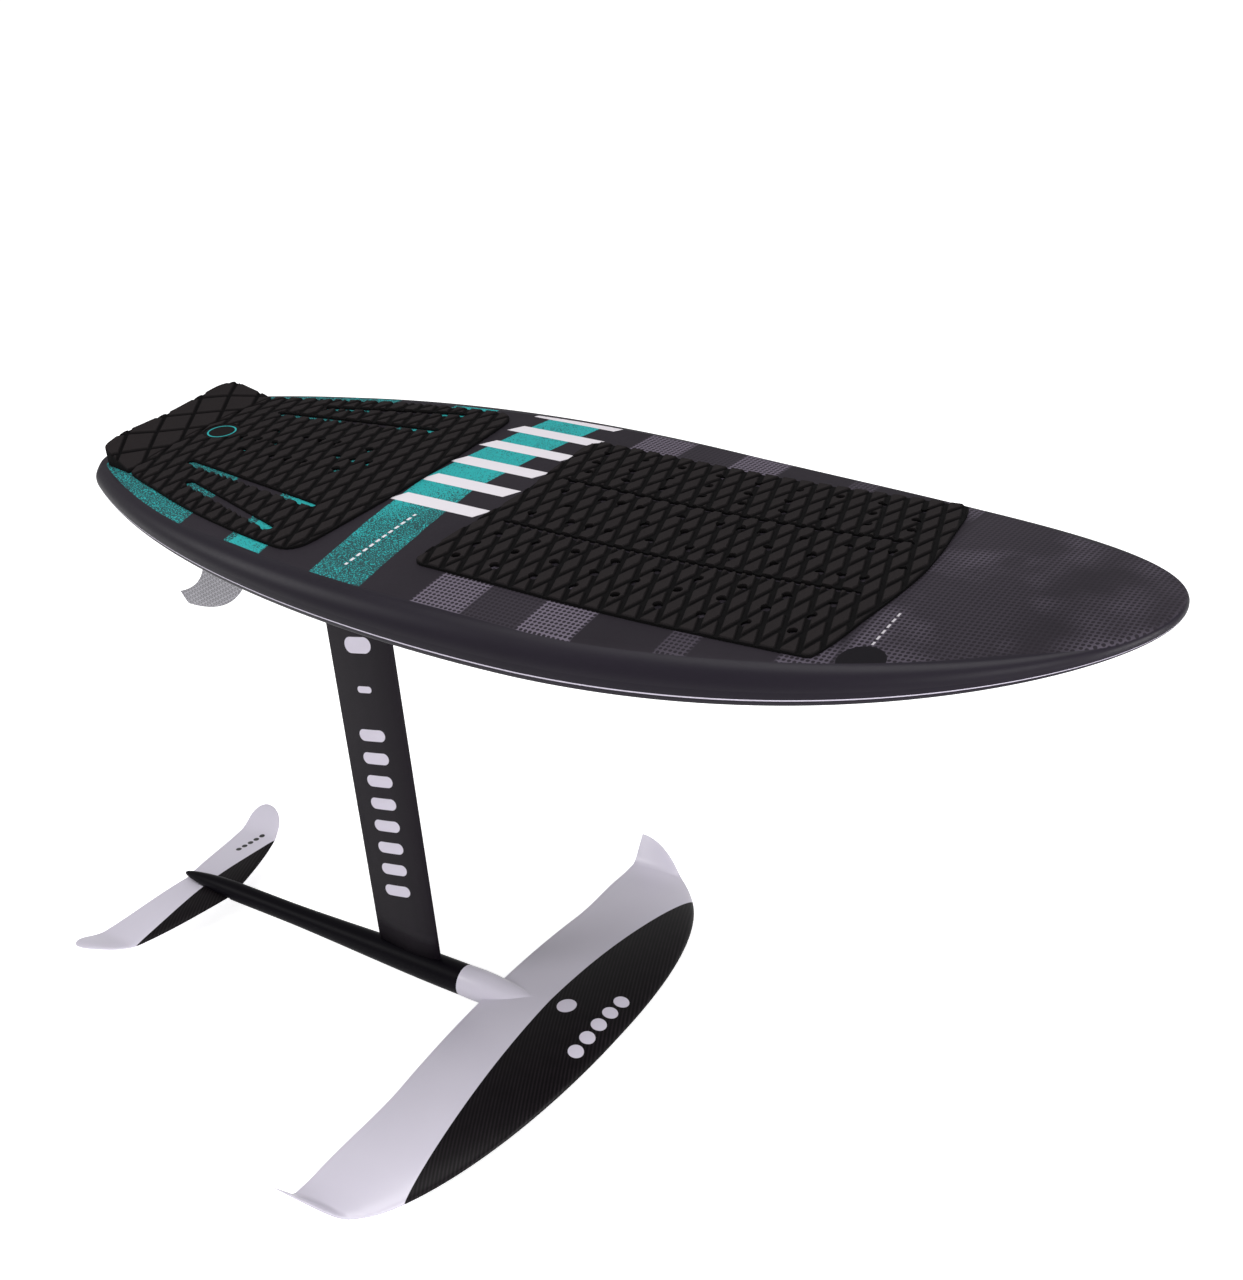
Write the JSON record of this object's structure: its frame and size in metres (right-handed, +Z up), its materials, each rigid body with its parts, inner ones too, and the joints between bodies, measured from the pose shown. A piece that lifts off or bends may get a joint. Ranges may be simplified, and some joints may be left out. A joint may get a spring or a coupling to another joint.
{
  "type": "hydrofoil surf board",
  "caption": "Short surf board on a hydrofoil: grooved pads and a tail kick on deck, twin fins, and a mast bolted to two bottom tracks, carrying a fuselage with front and rear wings.",
  "frame": {"origin": "centre of the flat rest face milled on the hull's bottom, 105 mm each way along the board and 65 mm each way across it", "axes": "+X to the nose of the board, +Y to its port side, +Z up out of the deck; the foil hangs towards -Z"},
  "size_m": [1.5215, 0.8352, 0.8527],
  "materials": {
    "board_paint": "satin two-pack paint over glass laminate",
    "core_foam": "expanded polystyrene, uncoated",
    "dense_foam": "dense structural foam, sanded",
    "box_plastic": "moulded nylon",
    "fin_composite": "smoky translucent glass laminate over honeycomb",
    "pad_foam": "matte foam with a raised diamond pattern",
    "black_metal": "fine matte black coating",
    "black_composite": "satin black composite",
    "wing_gloss": "gloss pale grey with a black carbon leading area",
    "steel": "stainless",
    "brass": "tumbled",
    "grey_shim": "moulded"
  },
  "bodies": {
    "board": {"deck_skin": "board_paint", "hull_skin": "board_paint", "foam_core": "core_foam", "core_block": "dense_foam", "track_box_left": "box_plastic", "track_box_right": "box_plastic", "fin_box_left": "box_plastic", "fin_box_right": "box_plastic", "fin_left": "fin_composite", "fin_right": "fin_composite", "fin_screws": "steel", "front_pad": "pad_foam", "rear_pad": "pad_foam", "tail_kick": "pad_foam"},
    "foil": {"base_plate": "black_metal", "plate_bolts": "steel", "plate_washers": "steel", "track_nuts": "brass", "mast": "black_metal", "mast_head_screws": "steel", "fuselage": "black_composite", "mast_foot_screws": "steel", "front_wing": "wing_gloss", "front_wing_screws": "steel", "rear_wing": "wing_gloss", "rear_wing_shim": "grey_shim", "rear_wing_screws": "steel"}
  },
  "joints": [
    {"name": "foil_slide", "type": "slide", "parent": "board", "child": "foil", "axis": [1, 0, 0], "range_m": [-0.025, 0.025]}
  ]
}
